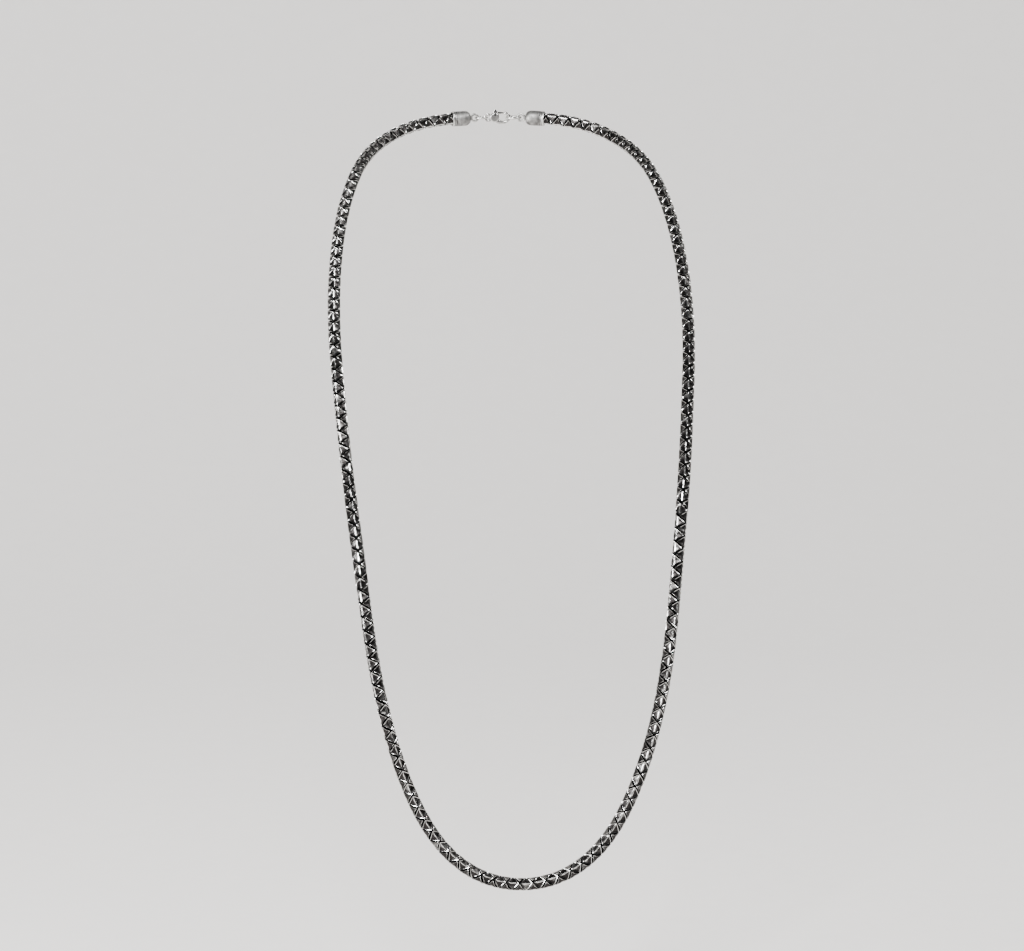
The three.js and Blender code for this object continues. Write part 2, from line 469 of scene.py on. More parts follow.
def object_of(name: str, verts: Points, faces: list[tuple[int, ...]]) -> bpy.types.Object:
    """Makes an object from points and faces, with its faces turned outwards.

    Args:
        name: The object's name.
        verts: The points.
        faces: The faces, as numbers of points.

    Returns:
        The new object, linked to the scene.
    """
    mesh = bpy.data.meshes.new(name)
    mesh.from_pydata([tuple(v) for v in verts], [], faces)
    shell = bmesh.new()
    shell.from_mesh(mesh)
    bmesh.ops.remove_doubles(shell, verts=shell.verts, dist=1e-7)
    bmesh.ops.recalc_face_normals(shell, faces=shell.faces)
    shell.to_mesh(mesh)
    shell.free()
    return placed(name, mesh)


def evaluated_mesh(host: bpy.types.Object) -> bpy.types.Mesh:
    """Returns a plain mesh of an object with its modifiers applied."""
    graph = bpy.context.evaluated_depsgraph_get()
    return bpy.data.meshes.new_from_object(host.evaluated_get(graph))


def apply_modifiers(host: bpy.types.Object) -> None:
    """Puts the result of an object's modifiers in its mesh and removes them.

    Args:
        host: The object.
    """
    mesh = evaluated_mesh(host)
    host.modifiers.clear()
    host.data = mesh


def lofted(name: str, rings: Points, closed: bool) -> bpy.types.Object:
    """Makes a skin over a row of rings.

    Args:
        name: The object's name.
        rings: The rings, each with the same number of points.
        closed: Whether the last ring meets the first. Otherwise the two ends are capped.

    Returns:
        The new object.
    """
    rows, sides = rings.shape[0], rings.shape[1]
    faces: list[tuple[int, ...]] = []
    for row in range(rows if closed else rows - 1):
        after = (row + 1) % rows
        for step in range(sides):
            next_step = (step + 1) % sides
            corners = (row * sides + step, row * sides + next_step)
            faces.append((*corners, after * sides + next_step, after * sides + step))
    if not closed:
        faces.append(tuple(range(sides)))
        faces.append(tuple(range((rows - 1) * sides, rows * sides)))
    return object_of(name, rings.reshape(-1, 3), faces)


def turned(name: str, outline: Outline, steps: int) -> bpy.types.Object:
    """Turns an outline of radius and height about the Y axis.

    Args:
        name: The object's name.
        outline: Points of radius and height, closed on themselves.
        steps: Steps round the axis.

    Returns:
        The new object.
    """
    turns = np.linspace(0.0, math.tau, steps, endpoint=False)
    rings = [[(r * math.cos(a), y, r * math.sin(a)) for r, y in outline] for a in turns]
    return lofted(name, np.array(rings), closed=True)


def rounded_rod(
    name: str, line: Points, widths: list[float], depths: list[float], fullness: float, sides: int
) -> bpy.types.Object:
    """Makes a rod with an oval section along a flat line in the XZ plane.

    Args:
        name: The object's name.
        line: The points of the line.
        widths: Half the section's width in the plane at each point.
        depths: Half the section's depth across the plane at each point.
        fullness: 1 for an ellipse, and less for a squarer section.
        sides: Points round the section.

    Returns:
        The new object.
    """
    ahead = np.gradient(line, axis=0)
    ahead /= np.linalg.norm(ahead, axis=1)[:, None]
    beside = np.stack([-ahead[:, 2], np.zeros(len(line)), ahead[:, 0]], axis=1)
    rings = []
    for point, side, width, depth in zip(line, beside, widths, depths):
        ring = []
        for angle in np.linspace(0.0, math.tau, sides, endpoint=False):
            c, s = math.cos(angle), math.sin(angle)
            across = math.copysign(abs(c) ** fullness, c) * width
            deep = math.copysign(abs(s) ** fullness, s) * depth
            ring.append(point + side * across + np.array([0.0, deep, 0.0]))
        rings.append(ring)
    return lofted(name, np.array(rings), closed=False)


def plate(name: str, outline: Outline, thickness: float) -> bpy.types.Object:
    """Makes a flat plate from an outline in the XZ plane, half its thickness on each side.

    Args:
        name: The object's name.
        outline: Points of X and Z.
        thickness: Its thickness along Y.

    Returns:
        The new object.
    """
    count = len(outline)
    front = [(x, -thickness / 2, z) for x, z in outline]
    back = [(x, thickness / 2, z) for x, z in outline]
    faces: list[tuple[int, ...]] = [tuple(range(count)), tuple(range(2 * count - 1, count - 1, -1))]
    for corner in range(count):
        after = (corner + 1) % count
        faces.append((corner, after, after + count, corner + count))
    return object_of(name, np.array(front + back), faces)


def joined(name: str, parts: list[bpy.types.Object]) -> bpy.types.Object:
    """Joins objects into one and removes the parts.

    Args:
        name: The name of the whole.
        parts: The objects.

    Returns:
        The whole.
    """
    whole = bmesh.new()
    for part in parts:
        whole.from_mesh(part.data)
        bpy.data.objects.remove(part)
    mesh = bpy.data.meshes.new(name)
    whole.to_mesh(mesh)
    whole.free()
    return placed(name, mesh)


def cast_together(whole: bpy.types.Object, cell: float, rounds: int) -> None:
    """Melts the shells of an object into one, with soft corners, as casting leaves them.

    Args:
        whole: The object.
        cell: The size of the cells that the new surface is made from.
        rounds: How often the surface is smoothed.
    """
    melt = whole.modifiers.new("melt", "REMESH")
    melt.mode = "VOXEL"
    melt.voxel_size = cell
    soften = whole.modifiers.new("soften", "SMOOTH")
    soften.iterations = rounds
    soften.factor = 0.5
    apply_modifiers(whole)


def cut(whole: bpy.types.Object, tool: bpy.types.Object) -> None:
    """Cuts one object's shape out of another and removes the tool.

    Args:
        whole: The object that is cut.
        tool: The shape that is taken away.
    """
    saw = whole.modifiers.new("saw", "BOOLEAN")
    saw.operation = "DIFFERENCE"
    saw.solver = "EXACT"
    saw.object = tool
    apply_modifiers(whole)
    bpy.data.objects.remove(tool)


def vectors(items: bpy.types.bpy_prop_collection, key: str) -> Points:
    """Reads a vector of every item.

    Args:
        items: The items, such as a mesh's points.
        key: The name of the vector, such as a point's place.

    Returns:
        A row for each item.
    """
    rows = np.zeros(len(items) * 3)
    items.foreach_get(key, rows)
    return rows.reshape(-1, 3)


def mark_wear(whole: bpy.types.Object, strength: float) -> None:
    """Stores on each point how far it stands out, from 0 in a corner to 1 on an edge.

    Args:
        whole: An object in millimetres.
        strength: How sharp an edge has to be, in millimetres of radius, to count as fully worn.
    """
    mesh = whole.data
    count = len(mesh.vertices)
    place = vectors(mesh.vertices, "co")
    normal = vectors(mesh.vertices, "normal")
    ends = np.zeros(len(mesh.edges) * 2, int)
    mesh.edges.foreach_get("vertices", ends)
    first, second = ends.reshape(-1, 2).T
    gap = place[second] - place[first]
    length = np.maximum(np.einsum("ij,ij->i", gap, gap), 1e-9)
    bend = np.zeros(count)
    near = np.zeros(count)
    np.add.at(bend, first, -2 * np.einsum("ij,ij->i", gap, normal[first]) / length)
    np.add.at(bend, second, 2 * np.einsum("ij,ij->i", gap, normal[second]) / length)
    np.add.at(near, first, 1)
    np.add.at(near, second, 1)
    bend /= np.maximum(near, 1)
    for _ in range(2):
        total = bend.copy()
        np.add.at(total, first, bend[second])
        np.add.at(total, second, bend[first])
        bend = total / (near + 1)
    wear = np.clip(0.45 + 0.5 * bend * strength, 0, 1)
    layer = mesh.attributes.new("wear", "FLOAT", "POINT")
    layer.data.foreach_set("value", wear.astype(np.float32))


def settle(whole: bpy.types.Object, origin: Points, axes: Points, sharp_degrees: float) -> None:
    """Scales a mesh made in millimetres, puts it in its place and shades it.

    Args:
        whole: The object.
        origin: Where its own origin lies, in metres.
        axes: The directions of its own X, Y and Z, as rows.
        sharp_degrees: Edges that bend more than this stay crisp.
    """
    mesh = whole.data
    moved = vectors(mesh.vertices, "co") * MM @ axes + origin
    mesh.vertices.foreach_set("co", moved.astype(np.float32).ravel())
    mesh.shade_smooth()
    mesh.set_sharp_from_angle(angle=math.radians(sharp_degrees))
    mesh.update()


def finish_piece(
    whole: bpy.types.Object, material: bpy.types.Material, nodes: list[str]
) -> None:
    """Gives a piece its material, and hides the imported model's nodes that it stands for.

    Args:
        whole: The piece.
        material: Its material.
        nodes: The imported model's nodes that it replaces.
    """
    whole.data.materials.clear()
    whole.data.materials.append(material)
    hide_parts(*nodes)


def joint_of(child: str) -> dict:
    """Returns the record's joint that a body turns on."""
    return next(joint for joint in frame["joints"] if joint["child"] == child)


def middle(node: str) -> Points:
    """Returns the middle of a node's box."""
    low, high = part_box(node)
    return np.array((low + high) / 2)


# ---- Route of the chain ----


@dataclass
class Route:
    """The closed line through the middle of the chain, smooth through every joint."""

    section: float
    clasp_half: float
    chain_radius: float
    lengths: int
    knots: Points = field(init=False)
    points: Points = field(init=False)
    slopes: Points = field(init=False)

    def __post_init__(self) -> None:
        """Reads the joints and fits the line to them."""
        stations = {0.0: np.zeros(3), self.half: self.lowest()}
        for side in Side:
            for number in range(1, self.lengths + 1):
                place = joint_of(f"{side.word}_{number:02d}")["pos_m"]
                distance = side.value * self.pivot(number) % (2 * self.half)
                stations[distance] = np.array(place)
        self.knots = np.array(sorted(stations))
        self.points = np.array([stations[knot] for knot in self.knots])
        self.slopes = self.smooth_slopes()

    @property
    def half(self) -> float:
        """The distance from the middle of the nape to the bottom of the loop."""
        return self.clasp_half + self.lengths * self.section

    def pivot(self, number: int) -> float:
        """Returns the distance from the nape to the joint at the start of a length."""
        return self.clasp_half + (number - 1) * self.section

    def lowest(self) -> Points:
        """Returns the bottom of the loop, from the boxes of the two lengths that meet there."""
        lows = [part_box(f"chain_{side.word}_{self.lengths:02d}")[0] for side in Side]
        y = min(low.y for low in lows) + self.chain_radius
        z = min(low.z for low in lows) + self.chain_radius
        return np.array([0.0, y, z])

    def smooth_slopes(self) -> Points:
        """Works out the slopes that leave no jump in the bending of the closed line.

        Returns:
            A slope for each point.
        """
        count = len(self.knots)
        after = (np.roll(self.knots, -1) - self.knots) % (2 * self.half)
        before = np.roll(after, 1)
        ahead = (np.roll(self.points, -1, axis=0) - self.points) / after[:, None]
        behind = np.roll(ahead, 1, axis=0)
        rule = np.zeros((count, count))
        for i in range(count):
            rule[i, i - 1] = after[i]
            rule[i, i] = 2 * (before[i] + after[i])
            rule[i, (i + 1) % count] = before[i]
        target = 3 * (after[:, None] * behind + before[:, None] * ahead)
        return np.linalg.solve(rule, target)

    def at(self, side: Side, distance: float) -> tuple[Points, Points]:
        """Finds a place on the line.

        Args:
            side: The side of the necklace.
            distance: The distance from the middle of the nape.

        Returns:
            The point, and the direction away from the nape.
        """
        total = 2 * self.half
        along = side.value * distance % total
        i = int(np.searchsorted(self.knots, along, side="right")) - 1
        j = (i + 1) % len(self.knots)
        gap = (self.knots[j] - self.knots[i]) % total
        t = (along - self.knots[i]) / gap
        p, q = self.points[i], self.points[j]
        m, n = self.slopes[i] * gap, self.slopes[j] * gap
        point = (1 + 2 * t) * (1 - t) ** 2 * p + t * (1 - t) ** 2 * m
        point = point + t**2 * (3 - 2 * t) * q + t**2 * (t - 1) * n
        slope = 6 * t * (1 - t) * (q - p) + (1 - t) * (1 - 3 * t) * m + t * (3 * t - 2) * n
        return point, side.value * slope / np.linalg.norm(slope)


# ---- Chain ----


@dataclass
class ScaledLink:
    """One link: two opposite lobes, each a scale with a raised keel, on a hidden core.

    Its own Z runs along the chain and its lobes face along its own X.
    """

    half_row_mm: float = 2.85
    valley_share: float = 0.70
    crest_share: float = 0.81
    foot_share: float = 0.97
    tip_reach: float = 0.07
    keel_mm: float = 2.73
    keel_rise_mm: float = 0.04
    keel_reach_mm: float = 1.3
    keel_half_width_mm: float = 0.16
    valley_mm: Triple = (2.72, 2.45, 2.36)
    crest_mm: Triple = (2.78, 2.76, 2.73)
    foot_mm: float = 1.8
    core_mm: float = 1.4
    core_reach_mm: float = 1.3

    def ring(self, share: float, radii: Triple) -> list[tuple[float, ...]]:
        """Places eight points round a lobe: its two tips, its two sides, and between them.

        Args:
            share: How far out they lie, from 0 at the middle to 1 at the lobe's border.
            radii: The radius at the tips, between, and at the sides.

        Returns:
            The points.
        """
        tip, between, side = radii
        points = []
        radius_at = {0.0: side, 0.5: between, 1.0: tip}
        for step in range(8):
            along = abs(step - 4) / 2 - 1
            about = 1 - abs((step + 2) % 8 - 4) / 2
            radius = radius_at[abs(along)]
            reach = share + (self.tip_reach if abs(along) == 1 and share < self.foot_share else 0)
            angle = about * share * math.pi / 2
            place = (radius * math.cos(angle), radius * math.sin(angle))
            points.append((*place, along * reach * self.half_row_mm))
        return points

    def lobe(self, start: int) -> MeshParts:
        """Builds one lobe.

        Args:
            start: How many points come before it in the mesh.

        Returns:
            Its points, its faces, and the relief at each point.
        """
        points = self.ring(self.valley_share, self.valley_mm)
        points += self.ring(self.crest_share, self.crest_mm)
        points += self.ring(self.foot_share, (self.foot_mm,) * 3)
        relief = [(0.0, 0.0, 0.16)] * 8 + [(0.0, 1.0, 0.0)] * 8 + [(0.0, 0.0, 1.0)] * 8
        relief[0] = relief[4] = (1.0, 0.3, 0.0)
        high = self.keel_mm + self.keel_rise_mm
        for about in (self.keel_half_width_mm, -self.keel_half_width_mm):
            points += [(high, about, self.keel_reach_mm), (self.keel_mm, about, 0.0)]
            points.append((high, about, -self.keel_reach_mm))
        relief += [(1.0, 0.0, 0.0)] * 6
        faces: list[tuple[int, ...]] = [
            (0, 24, 1),
            (1, 24, 25, 2),
            (2, 25, 26, 3),
            (3, 26, 4),
            (4, 29, 5),
            (5, 29, 28, 6),
            (6, 28, 27, 7),
            (7, 27, 0),
            (0, 27, 24),
            (24, 27, 28, 25),
            (25, 28, 29, 26),
            (26, 29, 4),
        ]
        for step in range(8):
            after = (step + 1) % 8
            faces.append((step, after, 8 + after, 8 + step))
            faces.append((8 + step, 8 + after, 16 + after, 16 + step))
        faces.append(tuple(range(16, 24)))
        return points, [tuple(start + corner for corner in face) for face in faces], relief

    def core(self, start: int) -> MeshParts:
        """Builds the core that holds the two lobes.

        Args:
            start: How many points come before it in the mesh.

        Returns:
            Its points, its faces, and the relief at each point.
        """
        points = []
        for end in (-1, 1):
            for step in range(8):
                angle = math.tau * step / 8
                place = (self.core_mm * math.cos(angle), self.core_mm * math.sin(angle))
                points.append((*place, end * self.core_reach_mm))
        faces: list[tuple[int, ...]] = [tuple(range(8)), tuple(range(15, 7, -1))]
        for step in range(8):
            after = (step + 1) % 8
            faces.append((step, after, 8 + after, 8 + step))
        return points, [tuple(start + c for c in face) for face in faces], [(0.0, 0.0, 1.0)] * 16

    @staticmethod
    def crease(mesh: bpy.types.Mesh) -> None:
        """Keeps the keels and the rims crisp, and leaves the flutes between them smooth.

        Args:
            mesh: The mesh of the link.
        """
        for edge in mesh.edges:
            ends = sorted(corner % 30 for corner in edge.vertices)
            in_core = max(edge.vertices) >= 60
            on_rim = ends[0] >= 8 and ends[1] < 16
            on_keel = ends[1] >= 24 and ends[0] in (0, 4, *range(24, 30))
            edge.use_edge_sharp = in_core or on_rim or on_keel

    def build(self) -> bpy.types.Object:
        """Builds the link that the chain repeats.

        Returns:
            The link, at the origin, in metres.
        """
        points, faces, relief = self.lobe(0)
        opposite = [(-x, -y, z) for x, y, z in points]
        more_faces = [tuple(corner + len(points) for corner in face) for face in faces]
        core_points, core_faces, core_relief = self.core(2 * len(points))
        points = points + opposite + core_points
        faces = faces + more_faces + core_faces
        relief = relief + relief + core_relief
        mesh = bpy.data.meshes.new("link")
        mesh.from_pydata([tuple(MM * part for part in point) for point in points], [], faces)
        layer = mesh.attributes.new("relief", "FLOAT_VECTOR", "POINT")
        layer.data.foreach_set("vector", np.array(relief, np.float32).ravel())
        shell = bmesh.new()
        shell.from_mesh(mesh)
        bmesh.ops.recalc_face_normals(shell, faces=shell.faces)
        shell.to_mesh(mesh)
        shell.free()
        mesh.shade_smooth()
        self.crease(mesh)
        return placed("link", mesh)


@dataclass
class LinkTree:
    """The Geometry Nodes tree that puts a link on each point of a stretch of chain."""

    turn_spread_degrees: float = 4.5
    lean_spread_degrees: float = 1.0
    size_spread: float = 0.012
    seed: int = 7
    tree: bpy.types.GeometryNodeTree = field(init=False)

    def __post_init__(self) -> None:
        """Builds the tree."""
        self.tree = bpy.data.node_groups.new("links_on_points", "GeometryNodeTree")
        face = self.tree.interface
        face.new_socket("Points", in_out="INPUT", socket_type="NodeSocketGeometry")
        face.new_socket("Links", in_out="OUTPUT", socket_type="NodeSocketGeometry")
        for name, kind in (
            ("Link", "NodeSocketObject"),
            ("Level", "NodeSocketVector"),
            ("Quarter Turn", "NodeSocketFloat"),
            ("Turn Spread", "NodeSocketFloat"),
            ("Lean Spread", "NodeSocketFloat"),
            ("Size Spread", "NodeSocketFloat"),
            ("Seed", "NodeSocketInt"),
            ("Finish", "NodeSocketMaterial"),
        ):
            face.new_socket(name, in_out="INPUT", socket_type=kind)
        self.wire()

    def wire(self) -> None:
        """Adds the nodes and joins them."""
        graph = Graph(self.tree)
        given = graph.add("NodeGroupInput").outputs
        stand = graph.add(
            "FunctionNodeAxesToRotation",
            {0: self.named(graph, "along", "FLOAT_VECTOR"), 1: given["Level"]},
            primary_axis="Z",
            secondary_axis="X",
        )
        number = self.named(graph, "number", "INT")
        quarters = graph.math("MULTIPLY", number, given["Quarter Turn"])
        rows = graph.math("ADD", self.named(graph, "twist", "FLOAT"), quarters)
        angles = {
            "X": self.chance(graph, given, "Lean Spread", 4),
            "Y": self.chance(graph, given, "Lean Spread", 5),
            "Z": graph.math("ADD", rows, self.chance(graph, given, "Turn Spread", 1)),
        }
        lean = graph.add("ShaderNodeCombineXYZ", angles)
        spin = graph.add("FunctionNodeEulerToRotation", {"Euler": lean.outputs[0]})
        turned_link = graph.add(
            "FunctionNodeRotateRotation",
            {"Rotation": stand.outputs[0], "Rotate By": spin.outputs[0]},
            rotation_space="LOCAL",
        )
        source = graph.add(
            "GeometryNodeObjectInfo", {"Object": given["Link"]}, transform_space="ORIGINAL"
        )
        place = graph.add(
            "GeometryNodeInstanceOnPoints",
            {
                "Points": given["Points"],
                "Instance": source.outputs["Geometry"],
                "Rotation": turned_link.outputs[0],
                "Scale": graph.math("SUBTRACT", 1.0, self.size(graph, given)),
            },
        )
        shade = self.random(graph, given, -0.5, 0.5, 3)
        tone = graph.add(
            "GeometryNodeStoreNamedAttribute",
            {"Geometry": place.outputs[0], "Name": "tone", "Value": shade},
            data_type="FLOAT",
            domain="INSTANCE",
        )
        real = graph.add("GeometryNodeRealizeInstances", {0: tone.outputs[0]})
        dress = graph.add(
            "GeometryNodeSetMaterial", {"Geometry": real.outputs[0], "Material": given["Finish"]}
        )
        graph.add("NodeGroupOutput", {0: dress.outputs[0]})

    @staticmethod
    def named(graph: Graph, name: str, kind: str) -> bpy.types.NodeSocket:
        """Reads a named attribute of the points.

        Args:
            graph: The tree.
            name: The attribute's name.
            kind: Its data type.

        Returns:
            Its value.
        """
        node = graph.add("GeometryNodeInputNamedAttribute", {"Name": name}, data_type=kind)
        return node.outputs["Attribute"]

    def random(
        self, graph: Graph, given: GroupInputs, low: float, high: float, offset: int
    ) -> bpy.types.NodeSocket:
        """Adds a random number for each link, from the tree's seed and the link's number.

        Args:
            graph: The tree.
            given: The tree's inputs.
            low: The least number.
            high: The greatest number.
            offset: Added to the seed, so that two uses differ.

        Returns:
            The number's socket.
        """
        node = graph.add("FunctionNodeRandomValue", data_type="FLOAT")
        floats = [s for s in node.inputs if s.type == "VALUE" and s.enabled]
        graph.feed(floats[0], low)
        graph.feed(floats[1], high)
        graph.feed(node.inputs["ID"], self.named(graph, "order", "INT"))
        graph.feed(node.inputs["Seed"], graph.math("ADD", given["Seed"], float(offset)))
        return next(s for s in node.outputs if s.type == "VALUE" and s.enabled)

    def chance(
        self, graph: Graph, given: GroupInputs, spread: str, offset: int
    ) -> bpy.types.NodeSocket:
        """Returns a small random angle for each link, up to the spread of that name."""
        share = self.random(graph, given, -1.0, 1.0, offset)
        return graph.math("MULTIPLY", share, given[spread])

    def size(self, graph: Graph, given: GroupInputs) -> bpy.types.NodeSocket:
        """Returns a small random loss of size for each link."""
        return graph.math("MULTIPLY", self.random(graph, given, 0.0, 1.0, 2), given["Size Spread"])

    def fill(
        self,
        host: bpy.types.Object,
        link: bpy.types.Object,
        level: Points,
        finish: bpy.types.Material,
    ) -> None:
        """Turns an object of bare points into a plain mesh of links.

        Args:
            host: The object whose points carry along, twist, number and order.
            link: The link.
            level: The normal of the plane that the loop lies near.
            finish: The material.
        """
        nodes = host.modifiers.new("links", "NODES")
        nodes.node_group = self.tree
        values = {
            "Link": link,
            "Level": tuple(float(part) for part in level),
            "Quarter Turn": math.pi / 2,
            "Turn Spread": math.radians(self.turn_spread_degrees),
            "Lean Spread": math.radians(self.lean_spread_degrees),
            "Size Spread": self.size_spread,
            "Seed": self.seed,
            "Finish": finish,
        }
        for item in self.tree.interface.items_tree:
            if item.item_type == "SOCKET" and item.name in values:
                nodes[item.identifier] = values[item.name]
        apply_modifiers(host)
        for name in ("along", "twist", "number", "order"):
            layer = host.data.attributes.get(name)
            if layer is not None:
                host.data.attributes.remove(layer)


@dataclass
class Chain:
    """The chain: every link, in stretches that reach over one joint each."""

    pitch: float = 0.00285
    links_per_length: int = 7
    lengths: int = 22
    clasp_half: float = 0.018
    radius: float = 0.0028
    bend_reach: float = 0.0085
    level: Triple = (0.0, 0.82, -0.57)
    left_twist: tuple[tuple[float, float], ...] = (
        (0.170, 8.0),
        (0.228, 32.0),
        (0.262, 78.0),
        (0.290, 92.0),
        (0.318, 134.0),
        (0.345, 138.0),
        (0.355, 160.0),
        (0.400, 183.0),
        (0.457, 188.0),
    )
    right_twist: tuple[tuple[float, float], ...] = (
        (0.235, 182.0),
        (0.262, 178.0),
        (0.275, 144.0),
        (0.295, 140.0),
        (0.332, 104.0),
        (0.372, 106.0),
        (0.390, 93.0),
        (0.457, 98.0),
    )
    route: Route = field(init=False)

    def __post_init__(self) -> None:
        """Lays the route."""
        section = self.pitch * self.links_per_length
        self.route = Route(section, self.clasp_half, self.radius, self.lengths)

    def twist(self, side: Side, distance: float) -> float:
        """Works out how far the rows of scales have turned about the chain.

        Args:
            side: The side of the necklace.
            distance: The distance from the middle of the nape.

        Returns:
            The turn about the direction away from the nape, in radians.
        """
        stations = self.left_twist if side is Side.LEFT else self.right_twist
        places, turns = zip(*stations)
        i = int(np.clip(np.searchsorted(places, distance), 1, len(places) - 1))
        t = float(np.clip((distance - places[i - 1]) / (places[i] - places[i - 1]), 0, 1))
        eased = t * t * (3 - 2 * t)
        turn = turns[i - 1] + (turns[i] - turns[i - 1]) * eased
        return -side.value * math.radians(turn)

    def stretch(self, name: str, side: Side, first: int, last: int) -> bpy.types.Object:
        """Makes the points that the links of a stretch stand on.

        Args:
            name: The stretch's name.
            side: The side of the necklace.
            first: The number of its first link from the clasp.
            last: The number of its last link.

        Returns:
            An object of bare points.
        """
        order = range(first, last + 1)
        distances = [self.clasp_half + (number + 0.5) * self.pitch for number in order]
        places = [self.route.at(side, distance) for distance in distances]
        mesh = bpy.data.meshes.new(name)
        mesh.from_pydata([tuple(point) for point, _ in places], [], [])
        values = {
            "along": ("FLOAT_VECTOR", "vector", [along for _, along in places]),
            "twist": ("FLOAT", "value", [self.twist(side, distance) for distance in distances]),
            "number": ("INT", "value", list(order)),
            "order": ("INT", "value", [side.value * (number + 1) for number in order]),
        }
        for label, (kind, key, rows) in values.items():
            layer = mesh.attributes.new(label, kind, "POINT")
            layer.data.foreach_set(key, np.array(rows).ravel())
        return placed(name, mesh)

    def stretches(self) -> list[tuple[int, int, int, int]]:
        """Lists the stretches of a side, each from the middle of one length to the next.

        Returns:
            For each stretch its first and last link, and the two lengths that it lies over.
        """
        each = self.links_per_length
        half = each // 2
        rows = [(0, half, 1, 1)]
        for number in range(2, self.lengths + 1):
            first = each * (number - 2) + half + 1
            rows.append((first, first + each - 1, number - 1, number))
        total = each * self.lengths
        rows.append((total - half, total - 1, self.lengths, self.lengths))
        return rows

    def build(self, finish: bpy.types.Material) -> None:
        """Builds the whole chain.

        Args:
            finish: The material of the links.
        """
        link = ScaledLink(half_row_mm=self.pitch / MM).build()
        tree = LinkTree()
        for side in Side:
            for first, last, before, after in self.stretches():
                name = f"links_{side.word}_{before:02d}_{after:02d}"
                piece = self.stretch(name, side, first, last)
                tree.fill(piece, link, np.array(self.level), finish)
                self.fasten(piece, side, before, after)
                faces = len(piece.data.polygons)
                log.info("%s: links %d to %d, %d faces", name, first, last, faces)
        bpy.data.objects.remove(link)

    def fasten(self, piece: bpy.types.Object, side: Side, before: int, after: int) -> None:
        """Hides a stretch's lengths, and ties a stretch within one length to that length's body. A
        stretch over a joint stays fixed in its place.

        Args:
            piece: The stretch.
            side: The side of the necklace.
            before: The length at its start.
            after: The length at its end.
        """
        numbers = sorted({before, after})
        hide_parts(*[f"chain_{side.word}_{number:02d}" for number in numbers])
        if before == after:
            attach(piece, f"{side.word}_{before:02d}")
            return
        pivot = self.route.pivot(after)
        start = self.route.at(side, pivot - self.bend_reach)[0]
        end = self.route.at(side, pivot + self.bend_reach)[0]
        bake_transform(piece)


# ---- Cups, rings and clasp ----


@dataclass
class EndCap:
    """A turned cup over an end of the chain, with a wire eye soldered on its crown.

    It is made along +Y, with the start of the chain at the origin, and its eye's hole runs
    along Z.
    """

    side: Side
    radius_mm: float = 3.35
    bore_mm: float = 3.1
    lip_mm: float = 3.0
    shoulder_mm: float = -3.6
    floor_mm: float = -2.9
    neck_mm: float = 1.1
    eye_offset_mm: float = 7.6
    eye_radius_mm: float = 1.55
    eye_wire_mm: float = 0.5
    groove_mm: float = 0.1

    def outline(self) -> Outline:
        """Draws the section of the cup.

        Returns:
            Points of radius and height, from the middle of the floor round to the crown.
        """
        outer, bore, lip = self.radius_mm, self.bore_mm, self.lip_mm
        points = [(0.001, self.floor_mm), (bore, self.floor_mm), (bore, lip - 0.1)]
        half = (outer - bore) / 2
        points += arc((bore + half, lip - half), half, math.pi, 0.0, 6)
        for height in (1.9, 1.3):
            points += [
                (outer, height + 0.22),
                (outer - self.groove_mm, height + 0.1),
                (outer - self.groove_mm, height - 0.1),
                (outer, height - 0.22),
            ]
        crown = -self.eye_offset_mm + self.eye_radius_mm + self.eye_wire_mm
        drop = self.shoulder_mm - crown
        for step in range(13):
            angle = math.pi / 2 * step / 12
            radius = self.neck_mm + (outer - self.neck_mm) * math.cos(angle)
            points.append((radius, self.shoulder_mm + 0.6 - (drop + 0.6) * math.sin(angle)))
        points.append((0.001, crown))
        return points

    def eye(self) -> bpy.types.Object:
        """Builds the eye.

        Returns:
            A ring of wire in the XY plane, behind the crown.
        """
        turns = np.linspace(0, math.tau, 48, endpoint=False)
        rings = bent_wire(turns, self.eye_radius_mm, self.eye_wire_mm, 16)
        rings[:, :, 1] -= self.eye_offset_mm
        return lofted("eye", rings, closed=True)

    def build(self, finish: bpy.types.Material, route: Route) -> None:
        """Builds the cup in its place.

        Args:
            finish: Its material.
            route: The route of the chain.
        """
        name = f"end_cup_{self.side.word}"
        whole = joined(name, [turned("cup", self.outline(), 64), self.eye()])
        mark_wear(whole, 0.35)
        origin, along = route.at(self.side, route.clasp_half)
        up = np.array([0.0, 0.0, 1.0]) - along[2] * along
        up /= np.linalg.norm(up)
        settle(whole, origin, np.array([up, along, np.cross(up, along)]), 40)
        finish_piece(whole, finish, [f"end_cap_{self.side.word}"])
        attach(whole, f"cap_{self.side.word}")
        log.info("%s: %d faces", name, len(whole.data.polygons))


@dataclass
class WireRing:
    """A ring of round wire that lies level, with the fine line of its closed cut."""

    node: str
    wire_mm: float
    cut_mm: float
    cut_degrees: float

    def build(self, finish: bpy.types.Material) -> None:
        """Builds the ring in its place.

        Args:
            finish: Its material.
        """
        low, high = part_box(self.node)
        radius = (high.x - low.x) / MM / 2 - self.wire_mm
        start = math.radians(self.cut_degrees)
        spare = self.cut_mm / radius
        turns = np.linspace(start + spare / 2, start + math.tau - spare / 2, 97)
        rings = bent_wire(turns, radius, self.wire_mm, 20)
        name = f"{self.node}_wire"
        whole = lofted(name, rings, closed=False)
        mark_wear(whole, 0.35)
        settle(whole, middle(self.node), np.eye(3), 40)
        finish_piece(whole, finish, [self.node])
        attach(whole, self.node)
        log.info("%s: %d faces", name, len(whole.data.polygons))


